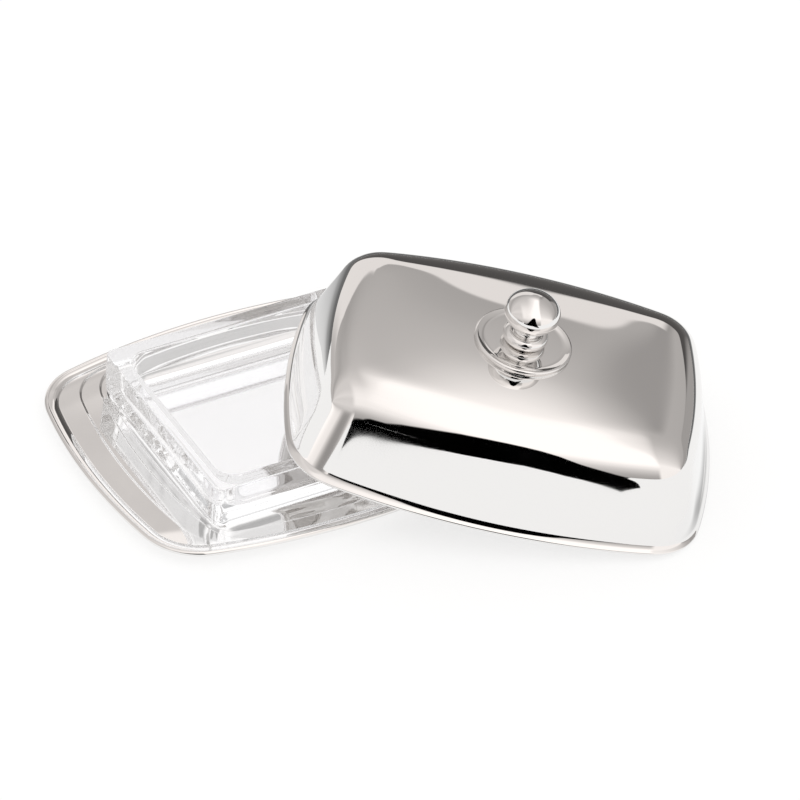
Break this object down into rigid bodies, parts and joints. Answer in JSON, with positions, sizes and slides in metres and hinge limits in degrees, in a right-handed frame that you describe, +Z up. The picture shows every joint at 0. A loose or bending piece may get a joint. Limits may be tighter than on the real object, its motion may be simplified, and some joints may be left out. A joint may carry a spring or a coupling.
{
  "type": "butter dish",
  "caption": "Stepped metal tray with a clear glass trough insert and a domed metal lid with a turned knob, shown open with the lid leaning on the insert.",
  "frame": {"origin": "middle of the tray's flat underside, where it stands on the table", "axes": "+X along the tray's long axis, +Y along its short axis, +Z up"},
  "size_m": [0.2508, 0.2009, 0.0778],
  "materials": {
    "steel": "mirror-polished stainless steel",
    "glass": "clear pressed glass",
    "screw_steel": "plain zinc-plated steel"
  },
  "bodies": {
    "tray": {"tray": "steel"},
    "insert": {"glass_insert": "glass"},
    "lid": {"lid_shell": "steel", "knob_rose": "steel", "knob": "steel", "knob_washer": "screw_steel", "knob_screw": "screw_steel"}
  },
  "joints": [
    {"name": "insert_lift", "type": "slide", "parent": "tray", "child": "insert", "axis": [0, 0, 1], "range_m": [0, 0.06]},
    {"name": "lid_lift", "type": "slide", "parent": "insert", "child": "lid", "axis": [0, 0, 1], "range_m": [0, 0.1]}
  ]
}
